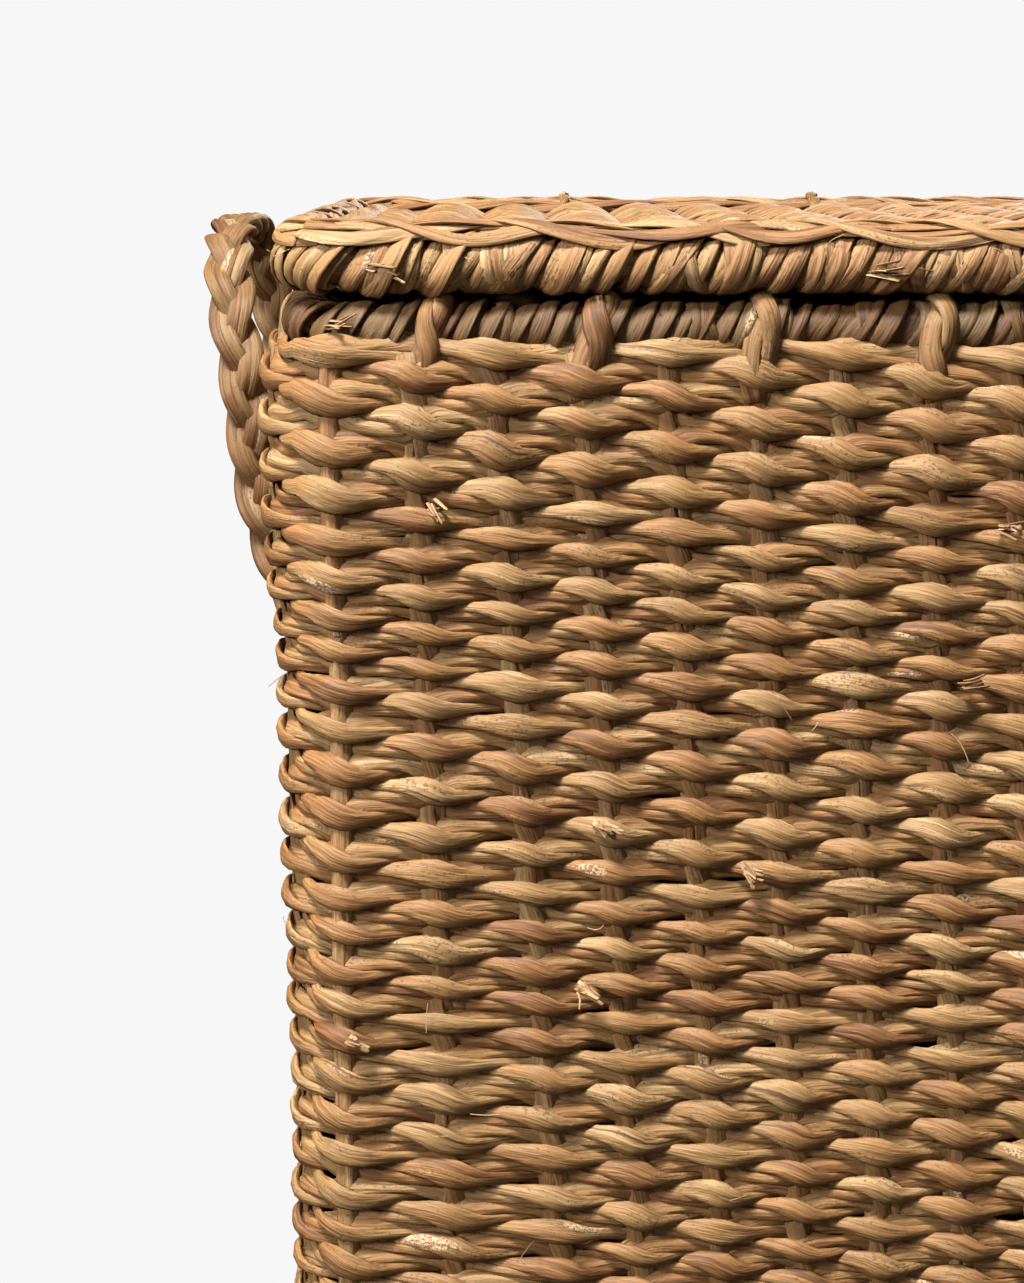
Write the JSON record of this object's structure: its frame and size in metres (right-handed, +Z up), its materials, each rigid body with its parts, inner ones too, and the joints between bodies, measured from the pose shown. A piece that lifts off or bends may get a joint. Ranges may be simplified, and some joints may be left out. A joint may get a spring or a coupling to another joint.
{
  "type": "laundry basket",
  "caption": "Rectangular hamper woven from twisted seagrass cord, with a flat woven lid on rear cord loops and plaited side handles.",
  "frame": {"origin": "on the floor, at the middle of the woven bottom's underside", "axes": "+Z up; the front is -Y, the lid's hinge loops are at +Y, and the handles are at -X and +X"},
  "size_m": [0.5128, 0.3294, 0.5947],
  "materials": {
    "frame_rod": "plain bent cane rod, matt",
    "seagrass_weft": "two-ply twisted dried leaf, golden tan, low sheen",
    "seagrass_stake": "twisted dried leaf pairs, low sheen",
    "leaf_wrap": "flat dried leaf wound round a rod, low sheen",
    "seagrass_plait": "three-strand plait of dried leaf, low sheen",
    "seagrass_cord": "thin twisted dried leaf cord"
  },
  "bodies": {
    "basket": {"base_frame_ring": "frame_rod", "base_border": "leaf_wrap", "base_ribs": "seagrass_stake", "base_weft": "seagrass_weft", "corner_posts": "leaf_wrap", "front_stakes": "seagrass_stake", "right_stakes": "seagrass_stake", "back_stakes": "seagrass_stake", "left_stakes": "seagrass_stake", "lower_wall_weft": "seagrass_weft", "middle_wall_weft": "seagrass_weft", "upper_wall_weft": "seagrass_weft", "rim_frame_ring": "frame_rod", "rim_wrap": "leaf_wrap", "rim_bindings": "seagrass_stake", "left_handle_strand_a": "seagrass_plait", "left_handle_strand_b": "seagrass_plait", "left_handle_strand_c": "seagrass_plait", "left_handle_knots": "seagrass_plait", "right_handle_strand_a": "seagrass_plait", "right_handle_strand_b": "seagrass_plait", "right_handle_strand_c": "seagrass_plait", "right_handle_knots": "seagrass_plait"},
    "hinge_loops": {"left_hinge_loop": "seagrass_cord", "middle_hinge_loop": "seagrass_cord", "right_hinge_loop": "seagrass_cord"},
    "lid": {"lid_frame_ring": "frame_rod", "lid_edge_wrap": "leaf_wrap", "lid_border_strands": "leaf_wrap", "lid_ribs": "seagrass_stake", "lid_weft": "seagrass_weft"}
  },
  "joints": [
    {"name": "loop_swing", "type": "hinge", "parent": "basket", "child": "hinge_loops", "pos_m": [0, 0.15, 0.556], "axis": [-1, 0, 0], "range_deg": [0, 90]},
    {"name": "lid_swing", "type": "hinge", "parent": "hinge_loops", "child": "lid", "pos_m": [0, 0.15, 0.5783], "axis": [-1, 0, 0], "range_deg": [0, 165]}
  ]
}
